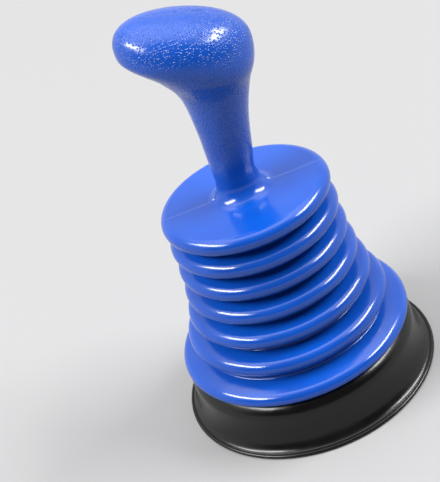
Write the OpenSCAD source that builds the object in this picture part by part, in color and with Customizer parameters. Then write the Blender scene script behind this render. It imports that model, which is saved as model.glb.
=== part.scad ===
// Bellows sink plunger: a blow-moulded plastic body (palm handle, top disc, five
// free folds and a bottom flange) with a rubber cup stretched over its lower end.
// Origin: centre of the sealing rim, on the surface the plunger stands on. +Z is up
// the axis, and the long end of the handle's head points to -X.

/* [Rubber cup] */
// Diameter over the sealing lip
cup_d = 140; // [136:1:150]
// Wall thickness of the rubber
cup_wall_t = 3; // [2.4:0.1:3.4]
// Thickness of the sealing lip at its edge
lip_t = 2.2; // [2:0.1:3]

/* [Bellows] */
// Diameter of the flat top disc
disc_d = 90; // [86:1:94]
// Diameter of the bottom flange
flange_d = 126; // [122:1:128]
// Height of the flange's widest point
flange_z = 32; // [31.8:0.1:33.5]
// Distance between neighbouring folds
pitch = 14; // [13:0.1:15]
// Distance from the lowest free fold to the flange
skirt_h = 14.7; // [14.2:0.1:16.5]
// How fast the folds widen towards the flange: higher is later
flare_power = 3; // [2:0.1:3.4]
// Depth of the grooves between folds
fold_depth = 8.5; // [8:0.1:9]
// Radius of the rounded crest of each fold
crest_r = 4.5; // [4.3:0.1:4.8]
// Radius of the bottom of each groove
root_r = 1.1; // [0.6:0.1:1.2]
// Thickness of the plastic skin
skin = 1.6; // [1.3:0.1:1.8]

/* [Handle] */
// Diameter of the neck where it leaves the disc
neck_d = 21.4; // [20:0.1:24]
// Radius of the flare between disc and neck
flare_r = 8; // [6:0.5:10]
// Height of the head's widest section above the disc
head_h = 84.5; // [82:0.5:88]
// Rise of the head's crown above its widest section
crown_h = 17; // [14:0.1:20]
// How flat the crown is: 2 is an ellipse, higher is flatter
crown_power = 2.4; // [2:0.1:3]
// Reach of the head to -X of the axis
head_front = 32.4; // [28:0.2:36]
// Reach of the head to +X of the axis
head_back = 31; // [26:0.2:32]
// Half the head's depth along Y, where it is deepest
head_side = 27; // [24:0.1:29]
// Downward slope of the head's top towards +X, in degrees
head_tilt = 11; // [8:0.5:13]

/* [Hidden] */

BLUE = "#1c3fc4";
BLACK = "#1d1d1e";
$fn = 96;

FLANGE = 6;                        // the flange is fold number 6, the disc number 0
LAST_FOLD = 5;                     // the lowest free fold
bead_half = 1.8;                   // half height of a fold's stiff outer bead
web_gap = 0.05;                    // free gap over a web's upper end
edge_h = 4.6;                      // height of the disc's rounded upper edge
edge_in = 5;                       // how far in that rounding reaches
neck_rise = 2.2;                   // straight neck above the flare, up to the handle
neck_r = neck_d / 2;

// ---- Bellows profile ----

function tip_z(i) = i == FLANGE ? flange_z : flange_z + skirt_h + (LAST_FOLD - i) * pitch;
function groove_z(i) = i == LAST_FOLD
    ? tip_z(i) - pitch / 2
    : (tip_z(i) + tip_z(i + 1)) / 2;
function down(z) = (tip_z(0) - z) / (tip_z(0) - flange_z);
function tip_r(i) = disc_d / 2 + (flange_d - disc_d) / 2 * pow(down(tip_z(i)), flare_power);
function groove_r(i) = (tip_r(i) + tip_r(i + 1)) / 2 - fold_depth;

function steps(z0, z1, n) = [for (k = [0 : n]) z0 + (z1 - z0) * k / n];
function arc(cx, cz, rx, rz, a0, a1, n) =
    [for (a = steps(a0, a1, n)) [cx + rx * cos(a), cz + rz * sin(a)]];

// Angle of the straight flank that joins a crest to a root h away and d further in
function flank_angle(h, d) =
    let (both = crest_r + root_r)
    atan2(h, both - d) - acos(both / norm([h, both - d]));

// Angle on the crest, inset by the skin or by 0, that lies bead_half from its middle
function bead_angle(inset) = asin(bead_half / (crest_r - inset));

// The crest of fold i between two angles, upward ones positive
function crest(i, a0, a1, inset, n) =
    arc(tip_r(i) - crest_r, tip_z(i), crest_r - inset, crest_r - inset, a0, a1, n);

// From fold i's bead along its flank to the root of groove g, above or below the fold
function flank(i, g, inset) =
    let (h = groove_z(g) - tip_z(i), way = sign(h))
    let (a = flank_angle(abs(h), tip_r(i) - groove_r(g)), root = root_r + inset)
    concat(
        crest(i, way * bead_angle(inset), way * a, inset, 4),
        arc(groove_r(g) + root_r, groove_z(g), root, root, 180 + way * a, 180, 4)
    );

function backward(list, skip = 0) = [for (k = [1 + skip : len(list)]) list[len(list) - k]];
function lowered(list, by) = [for (k = [0 : len(list) - 1]) list[k] - [0, k == 0 ? by : 0]];

// The line of web i from fold i - 1 through the groove down to fold i
function web_line(i, inset) = concat(
    lowered(flank(i - 1, i - 1, inset), web_gap), backward(flank(i, i - 1, inset), 1)
);

// ---- Plastic body ----

disc_z = tip_z(0) + edge_h;
flare_h = flare_r + 1;
handle_z = disc_z + flare_h + neck_rise;
flare_out = neck_r + flare_r;      // radius at which the flat top meets the flare

// The flare that carries the neck down into the flat top
module neck_flare() {
    flare = arc(flare_out, disc_z + flare_h, flare_r, flare_h, 270, 180, 8);
    bore = arc(flare_out - skin, disc_z + flare_h - skin, flare_r, flare_h, 180, 270, 8);
    color(BLUE) rotate_extrude() polygon(concat(
        flare, [[neck_r, handle_z], [neck_r - skin, handle_z]], bore,
        [[flare_out, disc_z - skin]]
    ));
}

module top_disc() {
    edge = arc(disc_d / 2 - edge_in, tip_z(0), edge_in, edge_h, 0, 90, 6);
    hollow = arc(disc_d / 2 - edge_in, tip_z(0), edge_in - skin, edge_h - skin, 90, 0, 6);
    color(BLUE) rotate_extrude() polygon(concat(
        crest(0, -bead_angle(0), -3, 0, 3), edge,
        [[flare_out, disc_z], [flare_out, disc_z - skin]],
        hollow, crest(0, -5, -bead_angle(skin), skin, 3)
    ));
}

module fold(i) {
    out = bead_angle(0);
    in = bead_angle(skin);
    color(BLUE) rotate_extrude() polygon(concat(
        crest(i, -out, out, 0, 6), crest(i, in, -in, skin, 6)
    ));
}

// The thin wall from fold i - 1 down through the groove to fold i
module web(i) {
    color(BLUE) rotate_extrude() polygon(concat(web_line(i, 0), backward(web_line(i, skin))));
}

seat_r = 52;                       // waist that the cup's collar grips
seat_bead_r = 55.4;                // bead under the waist, which keeps the cup on
seat_bead_h = 5.2;                 // height of that bead
seat_h = 10.2;                     // waist and bead together
seat_wall = 2;                     // wall of the waist
seat_bore_r = seat_r - seat_wall;
under_t = 2.6;                     // the flange's lower edge, below its widest point
under_in = 3;                      // how far in the rounding of that edge reaches
flange_foot = flange_z - under_t;
seat_foot = flange_foot - seat_h;

module flange() {
    low = asin((under_t - skin) / (crest_r - skin));
    lower_edge = arc(flange_d / 2 - under_in, flange_z, under_in, under_t, 0, -90, 5);
    color(BLUE) rotate_extrude() polygon(concat(
        crest(FLANGE, bead_angle(0), 3, 0, 3), lower_edge,
        [[seat_bore_r, flange_foot], [seat_bore_r, flange_foot + skin]],
        crest(FLANGE, -low, bead_angle(skin), skin, 4)
    ));
}

module cup_seat() {
    mid = seat_foot + seat_bead_h / 2;
    bead = arc(seat_r, mid, seat_bead_r - seat_r, seat_bead_h / 2, -90, 90, 8);
    color(BLUE) rotate_extrude() polygon(concat(
        [[seat_bore_r, seat_foot]], bead, [[seat_r, flange_foot], [seat_bore_r, flange_foot]]
    ));
}

// ---- Handle ----

crown_drift = 0.7;                 // the crown's centre lies this far towards -X
side_drop = 9;                     // the head is deepest this far under its widest section
nose_h = 72.2;                     // height of the section through the rounding under the head
nose_in = 13;                      // how much less it reaches to -X than the widest section
tilt_from = 20;                    // height above the disc at which the sections start to tilt
tilt_power = 1.3;                  // how slowly the tilt grows above that

// Half width of a superellipse of half width 1, at t of its height
function dome(t) = pow(1 - pow(t, crown_power), 1 / crown_power);

// Half depth of the head at a height above its widest section
function depth_at(rise) = head_side * dome((side_drop + rise) / (side_drop + crown_h));

// Sections: height above the disc, reach to -X, reach to +X, half depth. The first
// and the last aren't on the handle: they steer the curve through their neighbours.
SECTIONS = [
    [0, neck_r - 0.2, neck_r + 2.2, neck_r + 1],
    [handle_z - disc_z, neck_r, neck_r, neck_r],
    [22, neck_r - 0.2, neck_r + 2.2, neck_r + 1],
    [42, neck_r - 0.6, neck_r + 6.6, neck_r + 4],
    [60, neck_r + 1.1, head_back - 7.6, head_side - 7.8],
    [nose_h, head_front - nose_in, head_back - 2, head_side - 1.4],
    [head_h, head_front, head_back, depth_at(0)],
    [2 * head_h - nose_h, head_front - nose_in, head_back - 2, head_side - 7.5]
];
FIRST = 1;
WIDEST = 6;
handle_wall = 2;
skin_end = 0.985;                  // last ring of the outside, as a part of the crown's rise
bore_end = 0.9;                    // the same for the inside
around = 36;

// Catmull-Rom curve through the sections
function mix(a, b, c, d, t) =
    b + 0.5 * t * ((c - a) + t * ((2 * a - 5 * b + 4 * c - d) + t * (3 * (b - c) + d - a)));
function section_at(u) =
    let (i = min(WIDEST - 1, floor(u)))
    mix(SECTIONS[i - 1], SECTIONS[i], SECTIONS[i + 1], SECTIONS[i + 2], u - i);

// A section of the crown, from 0 at the head's widest to 1 at its top
function crown_at(s) =
    let (w = SECTIONS[WIDEST], half = (w[1] + w[2]) / 2 * dome(s))
    let (centre = (w[2] - w[1]) / 2 - crown_drift * s)
    [w[0] + crown_h * s, half - centre, half + centre, depth_at(crown_h * s)];

// How far a section at height h falls for each mm towards +X
function tilt(h) =
    tan(head_tilt) * pow(max(0, h - tilt_from) / (head_h - tilt_from), tilt_power);

// One ring of points, its reaches cut by the wall thickness inset
function ring(s, inset) = [
    for (k = [0 : around - 1])
    let (a = 360 * k / around, half = (s[1] + s[2]) / 2 - inset)
    let (x = (s[2] - s[1]) / 2 + half * cos(a))
    [x, (s[3] - inset) * sin(a), disc_z + s[0] - tilt(s[0]) * x]
];

function rings(per_span, crown_rings, inset, crown_end) = concat(
    [for (u = steps(FIRST, WIDEST, (WIDEST - FIRST) * per_span)) ring(section_at(u), inset)],
    [for (k = [1 : crown_rings]) ring(crown_at(crown_end * sin(90 * k / crown_rings)), inset)]
);

function flat(lists) = [for (l = lists) each l];

// Triangles between ring j and the next, wound outwards, or inwards when flipped
function band(base, j, flipped) = flat([
    for (k = [0 : around - 1])
    let (a = base + j * around + k, b = base + j * around + (k + 1) % around)
    flipped
        ? [[a, b, b + around], [a, b + around, a + around]]
        : [[a, b + around, b], [a, a + around, b + around]]
]);

function cap(base, top, flipped) = [
    for (k = [0 : around - 1])
    let (a = base + k, b = base + (k + 1) % around)
    flipped ? [a, b, top] : [a, top, b]
];

module handle() {
    skin_rings = rings(4, 5, 0, skin_end);
    bore_rings = rings(2, 3, handle_wall, bore_end);
    skin_n = len(skin_rings);
    bore_n = len(bore_rings);
    bore_base = skin_n * around;
    apex = bore_base + bore_n * around;
    crown = crown_at(1);
    top = [(crown[2] - crown[1]) / 2, 0, 0];
    rise = disc_z + crown[0] - tilt(crown[0]) * top[0];
    points = concat(
        flat(skin_rings), flat(bore_rings),
        [top + [0, 0, rise], top + [0, 0, rise - handle_wall]]
    );
    faces = concat(
        flat([for (j = [0 : skin_n - 2]) band(0, j, false)]),
        flat([for (j = [0 : bore_n - 2]) band(bore_base, j, true)]),
        cap((skin_n - 1) * around, apex, false),
        cap(bore_base + (bore_n - 1) * around, apex + 1, true),
        flat([for (k = [0 : around - 1])
            let (a = k, b = (k + 1) % around)
            [[a, b, bore_base + b], [a, bore_base + b, bore_base + a]]])
    );
    color(BLUE) polyhedron(points, faces, convexity = 6);
}

// ---- Rubber cup ----

rim_h = 5;                         // height of the rim's root, where the wall begins
fit_gap = 0.1;                     // room between the cup and what it is stretched over
collar_top = flange_foot - fit_gap;
collar_foot = seat_foot - 0.8;
collar_r = 63;                     // outside of the collar below its rounded shoulder
shoulder_r = 9;                    // rounding of the collar's top edge
grip_r = seat_r + fit_gap;         // the collar's lip around the waist
pocket_r = seat_bead_r + 0.2;      // room around the seat's bead
lip_r = cup_d / 2 - lip_t / 2;     // centre of the sealing lip's rounded edge
sweep_out = lip_r - collar_r;      // reach of the wall's hollow sweep out to the lip
sweep_down = collar_foot - lip_t;  // height of that sweep

// The hollow sweep of the cup between two heights, on its outside or inset from it
function sweep(z0, z1, inset, n) =
    let (down = sweep_down + inset, a0 = asin((collar_foot - z0) / down))
    let (a1 = asin((collar_foot - z1) / down))
    arc(lip_r, collar_foot, sweep_out + inset, down, 180 + a0, 180 + a1, n);

module cup_collar() {
    grip_foot = seat_foot + seat_bead_h + fit_gap;
    shoulder = arc(
        collar_r - shoulder_r, collar_top - shoulder_r, shoulder_r, shoulder_r, 0, 90, 6
    );
    color(BLACK) rotate_extrude() polygon(concat(
        [[pocket_r, collar_foot], [collar_r, collar_foot]], shoulder,
        [[grip_r, collar_top], [grip_r, grip_foot], [pocket_r, grip_foot]]
    ));
}

// The flexible wall, which flattens when the cup is pressed down
module cup_wall() {
    top = collar_foot - web_gap;
    color(BLACK) rotate_extrude() polygon(concat(
        sweep(top, rim_h, 0, 8), sweep(rim_h, top, cup_wall_t, 8)
    ));
}

module cup_rim() {
    edge = arc(lip_r, lip_t / 2, lip_t / 2, lip_t / 2, -90, 90, 8);
    root = sweep(rim_h, rim_h, cup_wall_t, 1)[0];
    color(BLACK) rotate_extrude() polygon(concat(
        [[root.x + 1, 0]], edge, backward(sweep(rim_h, lip_t, 0, 4), 1), [root]
    ));
}

handle();
neck_flare();
top_disc();
fold(1);  // fold_1
fold(2);  // fold_2
fold(3);  // fold_3
fold(4);  // fold_4
fold(5);  // fold_5
web(1);  // web_1
web(2);  // web_2
web(3);  // web_3
web(4);  // web_4
web(5);  // web_5
web(6);  // web_6
flange();
cup_seat();
cup_collar();
cup_wall();
cup_rim();
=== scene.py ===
import math

import bpy
import numpy as np
from mathutils import Matrix, Vector


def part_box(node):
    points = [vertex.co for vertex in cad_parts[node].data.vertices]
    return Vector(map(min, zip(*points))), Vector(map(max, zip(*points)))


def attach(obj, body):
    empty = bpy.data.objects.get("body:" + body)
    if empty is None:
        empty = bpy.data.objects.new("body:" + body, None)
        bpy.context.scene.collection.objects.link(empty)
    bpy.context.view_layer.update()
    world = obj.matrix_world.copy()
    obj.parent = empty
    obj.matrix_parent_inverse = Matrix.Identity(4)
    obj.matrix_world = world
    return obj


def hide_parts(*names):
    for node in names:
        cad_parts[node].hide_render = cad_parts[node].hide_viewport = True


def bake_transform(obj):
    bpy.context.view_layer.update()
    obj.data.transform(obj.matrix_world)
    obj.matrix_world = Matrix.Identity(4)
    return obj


# Looks of a bellows sink plunger. Profiles are worked out in millimetres, in the frame
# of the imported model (+Z up the axis), and meshes are made in metres.

MM = 0.001
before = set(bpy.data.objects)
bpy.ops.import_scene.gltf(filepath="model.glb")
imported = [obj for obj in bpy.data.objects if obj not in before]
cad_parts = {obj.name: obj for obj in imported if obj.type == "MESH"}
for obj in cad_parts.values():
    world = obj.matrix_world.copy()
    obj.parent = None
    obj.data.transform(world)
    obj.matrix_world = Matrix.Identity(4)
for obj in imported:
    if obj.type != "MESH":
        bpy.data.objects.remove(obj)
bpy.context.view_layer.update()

FOLDS = 5                 # free folds between the disc, number 0, and the flange
FLANGE = FOLDS + 1

# Bellows, as the CAD model has them
SKIN = 1.6                # thickness of the blow-moulded skin
CREST_R = 4.5             # radius of a fold's crest
ROOT_R = 1.1              # radius of the bottom of a groove
FOLD_DEPTH = 8.5          # depth of a groove below the crests beside it
BEAD_HALF = 1.8           # half height of the stiff bead at a fold's crest
EDGE_IN = 5               # how far in the rounding of the disc's upper edge reaches
EDGE_H = 4.6              # height of that rounding
FLARE_R = 8               # radius of the flare between disc and neck
FLARE_H = FLARE_R + 1     # height of the flare
UNDER_R = 3               # rounding of the flange's lower edge
SEAT_R = 52               # waist under the flange, which holds the cup
SEAT_BORE_R = 50          # inside of that waist
SEAT_BEAD_H = 5.2         # height of the bead under the waist

# Parting line of the two mould halves, in the plane y = 0
PART_H = 0.024            # how far the line stands proud
PART_W = 0.55             # its half width
FLARE_PART_H = 0.4        # it is heavier where the neck flares out


def span(node):
    """Lowest and highest corner of a CAD node, in millimetres."""
    low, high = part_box(node)
    return low / MM, high / MM


# ---- Sizes read from the frame ----

def fold_tip(i):
    """Radius and height of crest i, from the CAD solids."""
    if i == 0:
        low, high = span("top_disc")
        return high.x, low.z + BEAD_HALF
    low, high = span("flange" if i == FLANGE else f"fold_{i}")
    return high.x, high.z - BEAD_HALF


TIPS = [fold_tip(i) for i in range(FLANGE + 1)]
PITCH = TIPS[0][1] - TIPS[1][1]
DISC_Z = span("top_disc")[1].z
FLARE_OUT = span("neck_flare")[1].x
NECK_R = FLARE_OUT - FLARE_R
HANDLE_Z = span("handle")[0].z


def groove(i):
    """Radius and height of the groove below crest i."""
    (r0, z0), (r1, z1) = TIPS[i], TIPS[i + 1]
    height = z0 - PITCH / 2 if i == FOLDS else (z0 + z1) / 2
    return (r0 + r1) / 2 - FOLD_DEPTH, height


# ---- Profiles: rows of radius, height and the surface's normal ----

def arc(cr, cz, rr, rz, start, end, steps, out=1):
    """Part of an ellipse, angles in degrees; out is -1 where the normal points to its centre."""
    a = np.radians(np.linspace(start, end, steps + 1))
    normal = np.stack([np.cos(a) / rr, np.sin(a) / rz], 1)
    normal *= out / np.linalg.norm(normal, axis=1)[:, None]
    points = np.stack([cr + rr * np.cos(a), cz + rz * np.sin(a)], 1)
    return np.hstack([points, normal])


def straight(start, end, steps=1):
    """A straight stretch; the solid lies on the right hand of its direction."""
    start, end = np.array(start, float), np.array(end, float)
    along = (end - start) / np.linalg.norm(end - start)
    t = np.linspace(0, 1, steps + 1)[:, None]
    points = start + (end - start) * t
    return np.hstack([points, np.repeat([[-along[1], along[0]]], steps + 1, 0)])


def flank_angle(height, depth):
    """Angle of the straight flank between a crest and a root."""
    both = CREST_R + ROOT_R
    reach = math.hypot(height, both - depth)
    return math.degrees(math.atan2(height, both - depth) - math.acos(both / reach))


def bead_angle(inset):
    """Angle on the crest, inset by the skin or by 0, at which the stiff bead ends."""
    return math.degrees(math.asin(BEAD_HALF / (CREST_R - inset)))


def crest(i, start, end, inset, steps):
    """Part of crest i, on the skin's outside or inset from it."""
    r, z = TIPS[i]
    radius = CREST_R - inset
    return arc(r - CREST_R, z, radius, radius, start, end, steps, -1 if inset else 1)


def flank(i, g, inset):
    """From crest i's bead to the root of groove g, above or below it."""
    (r, z), (root_r, root_z) = TIPS[i], groove(g)
    way = 1 if root_z > z else -1
    a = way * flank_angle(abs(root_z - z), r - root_r)
    root = ROOT_R + inset
    upper = crest(i, way * bead_angle(inset), a, inset, 8)
    lower = arc(root_r + ROOT_R, root_z, root, root, 180 + a, 180, 8, 1 if inset else -1)
    return np.vstack([upper, lower])


def web_line(i, inset):
    """From crest i - 1 through the groove down to crest i."""
    return np.vstack([flank(i - 1, i - 1, inset), flank(i, i - 1, inset)[-2::-1]])


def shell(outer, inner):
    """Closed loop of a skin: its outside going down, then its inside going up."""
    up = inner[::-1]
    return [
        outer,
        straight(outer[-1, :2], up[0, :2]),
        up,
        straight(up[-1, :2], outer[0, :2]),
    ]


# ---- Meshes ----

def columns(uniform, fine):
    """Angles round the axis, closer together on both sides of the parting plane."""
    around = set(np.linspace(0, 360, uniform, endpoint=False))
    for side in (0, 180):
        around |= {(side + sign * a) % 360 for a in fine for sign in (-1, 1)}
    return np.radians(sorted(around))


AROUND = columns(uniform=160, fine=(0.25, 0.5, 0.8, 1.2, 1.7))


def parting_height(z):
    """How far the parting line stands proud at height z."""
    flare_ends = [DISC_Z - 0.5, DISC_Z + 1, HANDLE_Z - 3, HANDLE_Z]
    return np.interp(z, flare_ends, [PART_H, FLARE_PART_H, FLARE_PART_H, PART_H])


def lathed(rows, ridge):
    """Points and normals of one stretch of a profile turned about the axis."""
    cos, sin = np.cos(AROUND), np.sin(AROUND)
    r, z, nr, nz = (rows[:, k, None] for k in range(4))
    y = r * sin
    proud = ridge * parting_height(z) * np.exp(-((y / PART_W) ** 2))
    lean = proud * 2 * y / PART_W**2
    radius = r + proud * nr
    points = np.stack([radius * cos, radius * sin, z + proud * nz], -1)
    level = [nr * cos - lean * sin, nr * sin + lean * np.abs(cos)]
    normals = np.stack([*level, np.broadcast_to(nz, y.shape)], -1)
    return points, normals / np.linalg.norm(normals, axis=-1)[..., None]


def make_object(name, points, faces, material, loop_normals=None):
    """A smooth-shaded mesh object, from points in millimetres."""
    mesh = bpy.data.meshes.new(name)
    mesh.from_pydata((np.asarray(points) * MM).tolist(), [], faces)
    mesh.polygons.foreach_set("use_smooth", [True] * len(mesh.polygons))
    if loop_normals is not None:
        mesh.normals_split_custom_set(loop_normals)
    mesh.materials.append(material)
    mesh.update()
    made = bpy.data.objects.new(name, mesh)
    bpy.context.scene.collection.objects.link(made)
    return made


def lathe(name, loop, material, ridge_on=(0,)):
    """A closed profile turned into a ring; its stretches in ridge_on carry the parting line."""
    n = len(AROUND)
    total = sum(len(rows) - 1 for rows in loop)
    points, faces, normals = [], [], []
    row = 0
    for k, rows in enumerate(loop):
        p, nrm = lathed(rows, 1.0 if k in ridge_on else 0.0)
        points.append(p[:-1].reshape(-1, 3))
        for j in range(len(rows) - 1):
            a, b = (row + j) * n, ((row + j + 1) % total) * n
            for c in range(n):
                d = (c + 1) % n
                faces.append((a + c, b + c, b + d, a + d))
                normals.extend((nrm[j, c], nrm[j + 1, c], nrm[j + 1, d], nrm[j, d]))
        row += len(rows) - 1
    return make_object(name, np.vstack(points), faces, material, np.array(normals).tolist())


# ---- Materials ----

def new_material(name):
    """A material with what its maker needs: nodes, links, shader and the object's coordinates."""
    material = bpy.data.materials.new(name)
    material.use_nodes = True
    nodes, links = material.node_tree.nodes, material.node_tree.links
    shader = nodes["Principled BSDF"]
    place = nodes.new("ShaderNodeTexCoord").outputs["Object"]
    return material, nodes, links, shader, place


def noise(nodes, links, place, scale, detail=2.0, roughness=0.5):
    node = nodes.new("ShaderNodeTexNoise")
    node.inputs["Scale"].default_value = scale
    node.inputs["Detail"].default_value = detail
    node.inputs["Roughness"].default_value = roughness
    links.new(place, node.inputs["Vector"])
    return node.outputs["Fac"]


def remap(nodes, links, value, low, high, to_low, to_high, smooth=False):
    node = nodes.new("ShaderNodeMapRange")
    node.interpolation_type = "SMOOTHSTEP" if smooth else "LINEAR"
    ends = {"From Min": low, "From Max": high, "To Min": to_low, "To Max": to_high}
    for key, number in ends.items():
        node.inputs[key].default_value = number
    links.new(value, node.inputs["Value"])
    return node.outputs["Result"]


def ramp(nodes, links, value, low_colour, high_colour, low=0.3, high=0.7):
    node = nodes.new("ShaderNodeValToRGB")
    first, last = node.color_ramp.elements
    first.position, last.position = low, high
    first.color, last.color = (*low_colour, 1), (*high_colour, 1)
    links.new(value, node.inputs["Fac"])
    return node.outputs["Color"]


def bump(nodes, links, height, distance, strength=1.0, over=None):
    node = nodes.new("ShaderNodeBump")
    node.inputs["Distance"].default_value = distance
    node.inputs["Strength"].default_value = strength
    links.new(height, node.inputs["Height"])
    if over is not None:
        links.new(over, node.inputs["Normal"])
    return node.outputs["Normal"]


def multiply(nodes, links, a, b):
    node = nodes.new("ShaderNodeMath")
    node.operation = "MULTIPLY"
    links.new(a, node.inputs[0])
    links.new(b, node.inputs[1])
    return node.outputs["Value"]


BLUE_DEEP = (0.0016, 0.044, 0.285)
BLUE_LIGHT = (0.0022, 0.056, 0.345)
BLUE_IOR = 1.5
RUBBER_DEEP = (0.0015, 0.0015, 0.0016)
RUBBER_LIGHT = (0.0035, 0.0034, 0.0033)
RUBBER_IOR = 1.39


def blue_base(name):
    """Glossy pigmented polyethylene: slight pigment streaks, and a skin that isn't quite even."""
    material, nodes, links, shader, place = new_material(name)
    tint = noise(nodes, links, place, scale=28, detail=3)
    links.new(ramp(nodes, links, tint, BLUE_DEEP, BLUE_LIGHT), shader.inputs["Base Color"])
    shader.inputs["IOR"].default_value = BLUE_IOR
    swell = noise(nodes, links, place, scale=45, detail=1)
    waves = bump(nodes, links, swell, distance=0.0006)
    return material, nodes, links, shader, place, waves


def uneven_gloss(nodes, links, place, shader, smoothest, roughest):
    """Roughness that wanders between two values over a few millimetres."""
    gloss = noise(nodes, links, place, scale=150, detail=4)
    roughness = remap(nodes, links, gloss, 0.3, 0.7, smoothest, roughest)
    links.new(roughness, shader.inputs["Roughness"])


def blue_plastic():
    """The plastic of the bellows, smooth from the mould."""
    material, nodes, links, shader, place, waves = blue_base("blue_plastic")
    uneven_gloss(nodes, links, place, shader, 0.15, 0.21)
    fine = noise(nodes, links, place, scale=1500, detail=2)
    grain = bump(nodes, links, fine, distance=0.00002, strength=0.5, over=waves)
    links.new(grain, shader.inputs["Normal"])
    return material


STIPPLE_PITCH = 1.2 * MM
STIPPLE_H = 0.2 * MM
STIPPLE_FADE = (2, 22)    # heights above the handle's foot between which the stipple fades in


def grip_plastic(fade_low, fade_high):
    """The same plastic with a moulded stipple that fades out down the neck."""
    material, nodes, links, shader, place, waves = blue_base("grip_plastic")
    uneven_gloss(nodes, links, place, shader, 0.18, 0.26)
    dots = nodes.new("ShaderNodeTexVoronoi")
    dots.feature = "F1"
    dots.inputs["Scale"].default_value = 1 / STIPPLE_PITCH
    dots.inputs["Randomness"].default_value = 0.75
    links.new(place, dots.inputs["Vector"])
    domes = remap(nodes, links, dots.outputs["Distance"], 0.12, 0.5, 1, 0, smooth=True)
    height = nodes.new("ShaderNodeSeparateXYZ")
    links.new(place, height.inputs["Vector"])
    ends = fade_low * MM, fade_high * MM
    fade = remap(nodes, links, height.outputs["Z"], *ends, 0, 1, smooth=True)
    stipple = bump(nodes, links, multiply(nodes, links, domes, fade), STIPPLE_H, over=waves)
    links.new(stipple, shader.inputs["Normal"])
    return material


def black_rubber():
    """Moulded rubber: cloudy in colour and gloss, with slow waves and a fine grain."""
    material, nodes, links, shader, place = new_material("black_rubber")
    cloud = noise(nodes, links, place, scale=60, detail=5, roughness=0.6)
    colour = ramp(nodes, links, cloud, RUBBER_DEEP, RUBBER_LIGHT)
    links.new(colour, shader.inputs["Base Color"])
    shader.inputs["IOR"].default_value = RUBBER_IOR
    links.new(remap(nodes, links, cloud, 0.3, 0.7, 0.20, 0.27), shader.inputs["Roughness"])
    swell = noise(nodes, links, place, scale=70, detail=2)
    waves = bump(nodes, links, swell, distance=0.00015)
    fine = noise(nodes, links, place, scale=2200, detail=3)
    grain = bump(nodes, links, fine, distance=0.00004, strength=0.6, over=waves)
    links.new(grain, shader.inputs["Normal"])
    return material


BLUE = blue_plastic()
GRIP = grip_plastic(*(HANDLE_Z + up for up in STIPPLE_FADE))
RUBBER = black_rubber()


def finish_piece(piece, slot, *nodes):
    """Hide the CAD nodes that a piece stands in for."""
    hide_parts(*nodes)


# ---- Blue body ----

def make_folds():
    """The stiff bead of each free fold."""
    out, within = bead_angle(0), bead_angle(SKIN)
    for i in range(1, FOLDS + 1):
        loop = shell(crest(i, out, -out, 0, 10), crest(i, within, -within, SKIN, 10))
        piece = lathe(f"skin_fold_{i}", loop, BLUE)
        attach(piece, f"fold_{i}")
        finish_piece(piece, "blue_plastic", f"fold_{i}")


def make_webs():
    """The thin walls between the beads, in one fixed shape; on the real bellows they bend as it
    closes.
    """
    for i in range(1, FLANGE + 1):
        piece = lathe(f"skin_web_{i}", shell(web_line(i, 0), web_line(i, SKIN)), BLUE)
        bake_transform(piece)
        finish_piece(piece, "blue_plastic", f"web_{i}")


def make_neck_flare():
    """The foot of the neck, flaring out into the disc."""
    flare_top = DISC_Z + FLARE_H
    neck = straight([NECK_R, HANDLE_Z], [NECK_R, flare_top], 3)
    flare = arc(FLARE_OUT, flare_top, FLARE_R, FLARE_H, 180, 270, 14, -1)
    bore_r, bore_z = NECK_R - SKIN, flare_top - SKIN
    neck_bore = straight([bore_r, bore_z], [bore_r, HANDLE_Z])[::-1]
    flare_bore = arc(FLARE_OUT - SKIN, bore_z, FLARE_R, FLARE_H, 180, 270, 8)
    loop = shell(np.vstack([neck[:-1], flare]), np.vstack([neck_bore, flare_bore]))
    piece = lathe("skin_neck_flare", loop, BLUE)
    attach(piece, "handle")
    finish_piece(piece, "blue_plastic", "neck_flare")


def make_top_disc():
    """The flat top with its rounded edge, down to the bead under it."""
    tip_r, tip_z = TIPS[0]
    edge = arc(tip_r - EDGE_IN, tip_z, EDGE_IN, EDGE_H, 90, 0, 14)
    hollow = arc(tip_r - EDGE_IN, tip_z, EDGE_IN - SKIN, EDGE_H - SKIN, 90, 0, 8, -1)
    flat = straight([FLARE_OUT, DISC_Z], [tip_r - EDGE_IN, DISC_Z], 10)
    ceiling = straight([tip_r - EDGE_IN, DISC_Z - SKIN], [FLARE_OUT, DISC_Z - SKIN], 2)[::-1]
    outer = np.vstack([flat[:-1], edge[:-1], crest(0, 0, -bead_angle(0), 0, 5)])
    inner = np.vstack([ceiling[:-1], hollow, crest(0, -3, -bead_angle(SKIN), SKIN, 4)])
    piece = lathe("skin_top_disc", shell(outer, inner), BLUE)
    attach(piece, "handle")
    finish_piece(piece, "blue_plastic", "top_disc")


def make_flange():
    """The wide bottom fold, closed underneath as far in as the waist."""
    tip_r, tip_z = TIPS[FLANGE]
    foot = span("flange")[0].z
    edge = arc(tip_r - UNDER_R, tip_z, UNDER_R, tip_z - foot, 0, -90, 8)
    under = straight(edge[-1, :2], [SEAT_BORE_R, foot], 2)
    wall = straight([SEAT_BORE_R, foot], [SEAT_BORE_R, foot + SKIN])
    low = math.degrees(math.asin((tip_z - foot - SKIN) / (CREST_R - SKIN)))
    hollow = crest(FLANGE, -low, bead_angle(SKIN), SKIN, 6)
    floor = straight([SEAT_BORE_R, foot + SKIN], hollow[0, :2])
    outer = np.vstack([crest(FLANGE, bead_angle(0), 0, 0, 5), edge[1:]])
    end = straight(hollow[-1, :2], outer[0, :2])
    piece = lathe("skin_flange", [outer, under, wall, floor, hollow, end], BLUE)
    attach(piece, "base")
    finish_piece(piece, "blue_plastic", "flange")


# ---- Handle ----

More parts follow.
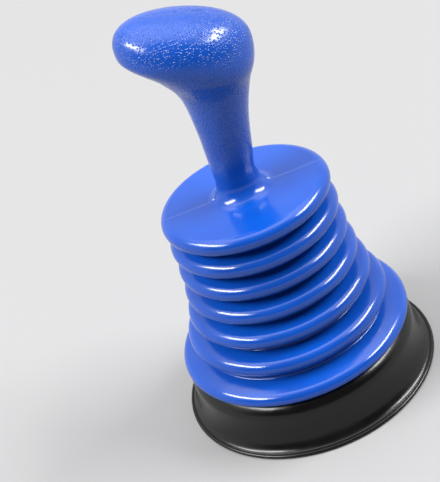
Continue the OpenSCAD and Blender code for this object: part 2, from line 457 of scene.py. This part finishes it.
HEAD_H = 84.5             # height of the head's widest section above the disc
HEAD_FRONT = 32.4         # its reach to -X
HEAD_BACK = 31            # its reach to +X
HEAD_SIDE = 27            # half the head's depth, where it is deepest
SIDE_DROP = 9             # the head is deepest this far under its widest section
CROWN_H = 17              # rise of the crown above the widest section
CROWN_POWER = 2.4         # above 2 the crown is flatter than an ellipse
CROWN_DRIFT = 0.7         # the crown's centre lies this far towards -X
NOSE_H = 72.2             # height of the section through the rounding under the head
NOSE_IN = 13              # how much less it reaches to -X than the widest section
TILT = math.tan(math.radians(11))  # fall of the widest section for each mm towards +X
TILT_FROM = 20            # height above the disc at which the sections start to tilt
TILT_POWER = 1.3          # how slowly the tilt grows above that
HANDLE_WALL = 2           # thickness of the handle's wall
FIRST = 1                 # row of the handle's foot in the table of sections
WIDEST = 6                # row of its widest section


def dome(t):
    """Half width of a superellipse of half width 1, at t of its height."""
    return max(0, 1 - t**CROWN_POWER) ** (1 / CROWN_POWER)


def depth_at(rise):
    """Half depth of the head at a height above its widest section."""
    return HEAD_SIDE * dome((SIDE_DROP + rise) / (SIDE_DROP + CROWN_H))


def sections():
    """Height above the disc, reach to -X, reach to +X and half depth of each section.

    The first and the last aren't on the handle: they steer the curve through their neighbours.
    """
    n = NECK_R
    return np.array([
        [0, n - 0.2, n + 2.2, n + 1],
        [HANDLE_Z - DISC_Z, n, n, n],
        [22, n - 0.2, n + 2.2, n + 1],
        [42, n - 0.6, n + 6.6, n + 4],
        [60, n + 1.1, HEAD_BACK - 7.6, HEAD_SIDE - 7.8],
        [NOSE_H, HEAD_FRONT - NOSE_IN, HEAD_BACK - 2, HEAD_SIDE - 1.4],
        [HEAD_H, HEAD_FRONT, HEAD_BACK, depth_at(0)],
        [2 * HEAD_H - NOSE_H, HEAD_FRONT - NOSE_IN, HEAD_BACK - 2, HEAD_SIDE - 7.5],
    ])


SECTIONS = sections()


def section_at(u):
    """Catmull-Rom curve through the sections."""
    i = min(WIDEST - 1, int(u))
    t = u - i
    a, b, c, d = SECTIONS[i - 1 : i + 3]
    bend = (2 * a - 5 * b + 4 * c - d) + t * (3 * (b - c) + d - a)
    return b + 0.5 * t * ((c - a) + t * bend)


def crown_at(s):
    """Section of the crown, s from 0 at the head's widest to 1 at its top."""
    h, front, back, _ = SECTIONS[WIDEST]
    centre = (back - front) / 2 - CROWN_DRIFT * s
    half = (front + back) / 2 * dome(s)
    return np.array([h + CROWN_H * s, half - centre, half + centre, depth_at(CROWN_H * s)])


def ring(section, inset=0.0):
    """Points round one section of the handle, cut in by the wall's thickness inset."""
    h, front, back, side = section
    half = (front + back) / 2 - inset
    x = (back - front) / 2 + half * np.cos(AROUND)
    y = (side - inset) * np.sin(AROUND)
    tilt = TILT * (max(0, h - TILT_FROM) / (HEAD_H - TILT_FROM)) ** TILT_POWER
    return np.stack([x, y, DISC_Z + h - tilt * x], 1)


def handle_rings(per_span, crown_rings, inset, crown_end):
    """All rings of one surface of the handle, up to crown_end of the crown's rise."""
    along = np.linspace(FIRST, WIDEST, (WIDEST - FIRST) * per_span + 1)
    low = [ring(section_at(u), inset) for u in along]
    turn = np.linspace(0, math.pi / 2, crown_rings + 1)[1:]
    high = [ring(crown_at(crown_end * math.sin(a)), inset) for a in turn]
    return np.array(low + high)


PINCH_DEPTH = 0.9         # depth of the sealed seam along the top of the head
PINCH_W = 0.55            # half width of the seam
PINCH_ENDS = (-19, 21)    # where the seam starts and ends, along X
PINCH_FADE = 3            # length over which it fades at each end
PINCH_FROM = 2            # how far above the widest section the seam takes over from the line
PINCH_RISE = 8            # height over which it does
DASH = 3.1                # length of one dash and gap of the seam
DASH_CUT = 0.38           # half of how much shallower a gap is, as a part of the seam's depth
DASH_SHIFT = 1.3          # how unevenly the dashes are spaced, in radians of their wave
DASH_SHIFT_L = 4.7        # length over which that spacing wanders


def surface_normals(grid):
    """Outward normals of a grid of rings."""
    along = np.gradient(grid, axis=0)
    across = np.roll(grid, -1, 1) - np.roll(grid, 1, 1)
    normal = np.cross(across, along)
    return normal / np.maximum(np.linalg.norm(normal, axis=-1), 1e-9)[..., None]


def seam_offset(grid):
    """Height of the parting line over the handle's surface, less the depth of the crown's seam."""
    x, y, z = grid[..., 0], grid[..., 1], grid[..., 2]
    on_crown = np.clip((z - (DISC_Z + HEAD_H + PINCH_FROM - TILT * x)) / PINCH_RISE, 0, 1)
    line = PART_H * np.exp(-((y / PART_W) ** 2)) * (1 - on_crown)
    start, end = PINCH_ENDS
    inside = np.clip((x - start) / PINCH_FADE, 0, 1) * np.clip((end - x) / PINCH_FADE, 0, 1)
    wave = 2 * math.pi * x / DASH + DASH_SHIFT * np.sin(x / DASH_SHIFT_L)
    dashes = 1 - DASH_CUT + DASH_CUT * np.sin(wave)
    cut = PINCH_DEPTH * dashes * np.exp(-((y / PINCH_W) ** 2)) * on_crown * inside
    return line - cut


SHARP = math.radians(45)  # edges of the handle sharper than this aren't smoothed


def quads_up(base, rings, inward=False):
    """Quads between rings of points, the lowest ring starting at point number base."""
    n = len(AROUND)
    faces = []
    for j in range(rings - 1):
        for c in range(n):
            a, b = base + j * n + c, base + j * n + (c + 1) % n
            faces.append((b, a, a + n, b + n) if inward else (a, b, b + n, a + n))
    return faces


def make_handle():
    """The hollow neck and head, open at the foot, in one skin."""
    n = len(AROUND)
    outer = handle_rings(per_span=10, crown_rings=44, inset=0, crown_end=0.9998)
    outer = outer + surface_normals(outer) * seam_offset(outer)[..., None]
    inner = handle_rings(per_span=4, crown_rings=8, inset=HANDLE_WALL, crown_end=0.9)
    tops = [outer[-1].mean(0), inner[-1].mean(0)]
    points = np.vstack([outer.reshape(-1, 3), inner.reshape(-1, 3), tops])
    inner_base = len(outer) * n
    apex = inner_base + len(inner) * n
    last, inner_last = inner_base - n, apex - n
    faces = quads_up(0, len(outer)) + quads_up(inner_base, len(inner), inward=True)
    for c in range(n):
        d = (c + 1) % n
        faces.append((last + c, last + d, apex))
        faces.append((inner_last + d, inner_last + c, apex + 1))
        faces.append((d, c, inner_base + c, inner_base + d))
    piece = make_object("skin_handle", points, faces, GRIP)
    piece.data.set_sharp_from_angle(angle=SHARP)
    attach(piece, "handle")
    finish_piece(piece, "grip_plastic", "handle")


# ---- Rubber cup ----

CUP_WALL = 3              # thickness of the cup's wall
LIP_T = 2.2               # thickness of the sealing lip at its edge
RIM_H = 5                 # height of the rim's root, where the wall begins
COLLAR_R = 63             # outside of the collar below its rounded shoulder
SHOULDER_R = 9            # rounding of that shoulder
GRIP_R = 52.1             # the collar's lip around the body's waist
GRIP_FOOT = 24.5          # height of that lip's foot
POCKET_R = 55.6           # room below it, around the body's bead
LIP_GROOVE = 0.25         # radius of the fine groove just inside the lip's edge
LIP_GROOVE_IN = 0.5       # how far inside the centre of the lip's edge that groove lies
LIP_GROOVE_UP = 0.12      # how far its centre lies above the lip's thickness


def make_cup():
    """One moulding: a collar around the body's waist, a hollow sweep and the sealing lip."""
    top, foot = span("cup_collar")[1].z, span("cup_collar")[0].z
    lip_r = span("cup_rim")[1].x - LIP_T / 2
    out, down = lip_r - COLLAR_R, foot - LIP_T

    def sweep(inset, start, end, steps, side):
        wide, tall = out + inset, down + inset
        a0, a1 = (180 + math.degrees(math.asin((foot - z) / tall)) for z in (start, end))
        return arc(lip_r, foot, wide, tall, a0, a1, steps, side)

    crown = COLLAR_R - SHOULDER_R
    groove_z = LIP_T + LIP_GROOVE_UP
    outside = np.vstack([
        straight([GRIP_R, top], [crown, top], 2)[:-1],
        arc(crown, top - SHOULDER_R, SHOULDER_R, SHOULDER_R, 90, 0, 14),
        straight([COLLAR_R, top - SHOULDER_R], [COLLAR_R, foot], 3)[1:],
        sweep(0, foot, groove_z + 0.1, 26, -1)[1:],
        arc(lip_r - LIP_GROOVE_IN, groove_z, LIP_GROOVE, LIP_GROOVE, 190, 350, 6, -1),
        arc(lip_r, LIP_T / 2, LIP_T / 2, LIP_T / 2, 96, -90, 14),
    ])
    inner_wall = sweep(CUP_WALL, RIM_H, foot, 14, 1)
    root = inner_wall[0, :2]
    loop = [
        outside,
        straight([lip_r, 0], [root[0] + 1, 0], 3),
        straight([root[0] + 1, 0], root, 3),
        inner_wall,
        straight(inner_wall[-1, :2], [POCKET_R, foot]),
        straight([POCKET_R, foot], [POCKET_R, GRIP_FOOT], 3),
        straight([POCKET_R, GRIP_FOOT], [GRIP_R, GRIP_FOOT]),
        straight([GRIP_R, GRIP_FOOT], [GRIP_R, top], 3),
    ]
    piece = lathe("rubber_cup", loop, RUBBER, ridge_on=())
    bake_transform(piece)
    finish_piece(piece, "black_rubber", "cup_rim", "cup_wall", "cup_collar")


def make_seat():
    """The waist under the flange and the bead that keeps the cup on it."""
    low, high = span("cup_seat")
    mid = low.z + SEAT_BEAD_H / 2
    loop = [
        straight([SEAT_BORE_R, high.z], [SEAT_R, high.z]),
        straight([SEAT_R, high.z], [SEAT_R, mid + SEAT_BEAD_H / 2], 2),
        arc(SEAT_R, mid, high.x - SEAT_R, SEAT_BEAD_H / 2, 90, -90, 12),
        straight([SEAT_R, low.z], [SEAT_BORE_R, low.z]),
        straight([SEAT_BORE_R, low.z], [SEAT_BORE_R, high.z], 3),
    ]
    piece = lathe("cup_seat_ring", loop, BLUE, ridge_on=(2,))
    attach(piece, "base")
    finish_piece(piece, "blue_plastic", "cup_seat")


make_handle()
make_neck_flare()
make_top_disc()
make_webs()
make_folds()
make_flange()
make_seat()
make_cup()


# ---- Floor, light and camera ----

FLOOR_COLOUR = (0.24, 0.24, 0.243)
FLOOR_HALF = 6.0          # half the floor's side, in metres


def make_floor():
    """A plain pale floor under the plunger."""
    mesh = bpy.data.meshes.new("floor")
    signs = [(-1, -1), (1, -1), (1, 1), (-1, 1)]
    corners = [(FLOOR_HALF * x, FLOOR_HALF * y, 0) for x, y in signs]
    mesh.from_pydata(corners, [], [(0, 1, 2, 3)])
    floor = bpy.data.objects.new("floor", mesh)
    bpy.context.scene.collection.objects.link(floor)
    material = bpy.data.materials.new("floor")
    material.use_nodes = True
    shader = material.node_tree.nodes["Principled BSDF"]
    shader.inputs["Base Color"].default_value = (*FLOOR_COLOUR, 1)
    shader.inputs["Roughness"].default_value = 0.9
    mesh.materials.append(material)


LAMP_DISTANCE = 6.0       # in metres
LAMP_WIDE = 38            # width of a lamp as the plunger sees it, in degrees
LAMP_TALL = 11            # its height, in degrees
LAMP_RADIANCE = 33        # of a lamp's face, in W/m2/sr
LAMP_AIM = Vector((0, 0, 0.1))  # the point that the lamps face, in metres


def make_softbox(name, azimuth, elevation):
    """A rectangular lamp that faces the plunger; azimuth from +X towards +Y, in degrees."""
    a, e = math.radians(azimuth), math.radians(elevation)
    towards = Vector((math.cos(a) * math.cos(e), math.sin(a) * math.cos(e), math.sin(e)))
    light = bpy.data.lights.new(name, "AREA")
    light.shape = "RECTANGLE"
    light.size = 2 * LAMP_DISTANCE * math.tan(math.radians(LAMP_WIDE / 2))
    light.size_y = 2 * LAMP_DISTANCE * math.tan(math.radians(LAMP_TALL / 2))
    light.energy = LAMP_RADIANCE * math.pi * light.size * light.size_y
    lamp = bpy.data.objects.new(name, light)
    lamp.location = LAMP_AIM + towards * LAMP_DISTANCE
    lamp.rotation_mode = "QUATERNION"
    lamp.rotation_quaternion = (-towards).to_track_quat("-Z", "Y")
    bpy.context.scene.collection.objects.link(lamp)


def make_world():
    """A pale studio: brightest overhead, less so behind the plunger, dim behind the camera."""
    world = bpy.data.worlds.new("studio")
    world.use_nodes = True
    bpy.context.scene.world = world
    nodes, links = world.node_tree.nodes, world.node_tree.links
    direction = nodes.new("ShaderNodeTexCoord").outputs["Generated"]
    parts = nodes.new("ShaderNodeSeparateXYZ")
    links.new(direction, parts.inputs["Vector"])
    back = remap(
        nodes, links, parts.outputs["Y"], low=-0.45, high=-0.1, to_low=0.12, to_high=1, smooth=True
    )
    rise = remap(
        nodes, links, parts.outputs["Z"], low=0.6, high=0.95, to_low=0.9, to_high=3.3, smooth=True
    )
    background = nodes["Background"]
    links.new(multiply(nodes, links, back, rise), background.inputs["Strength"])
    background.inputs["Color"].default_value = (1, 1, 1, 1)


# The camera's place, direction and roll, worked out from the plunger's outlines
CAMERA_AT = Vector((0, -527.76, 421.03)) * MM
CAMERA_LOOKS = Vector((-0.0322, 0.8525, -0.5217))
CAMERA_RIGHT = Vector((0.9313, -0.1638, -0.3253))
LENS = 89.63              # focal length in mm
SENSOR = 36               # width of the sensor in mm


def make_camera():
    """The scene's camera, with its roll kept square to the way it looks."""
    data = bpy.data.cameras.new("camera")
    data.lens = LENS
    data.sensor_width = SENSOR
    camera = bpy.data.objects.new("camera", data)
    looks = CAMERA_LOOKS.normalized()
    right = (CAMERA_RIGHT - CAMERA_RIGHT.dot(looks) * looks).normalized()
    up = right.cross(looks)
    axes = Matrix((right, up, -looks)).transposed().to_4x4()
    camera.matrix_world = Matrix.Translation(CAMERA_AT) @ axes
    bpy.context.scene.collection.objects.link(camera)
    bpy.context.scene.camera = camera


make_floor()
make_softbox("softbox_left", -168, 44)
make_softbox("softbox_right", -3, 41)
make_world()
make_camera()
bpy.context.scene.view_settings.view_transform = "Standard"
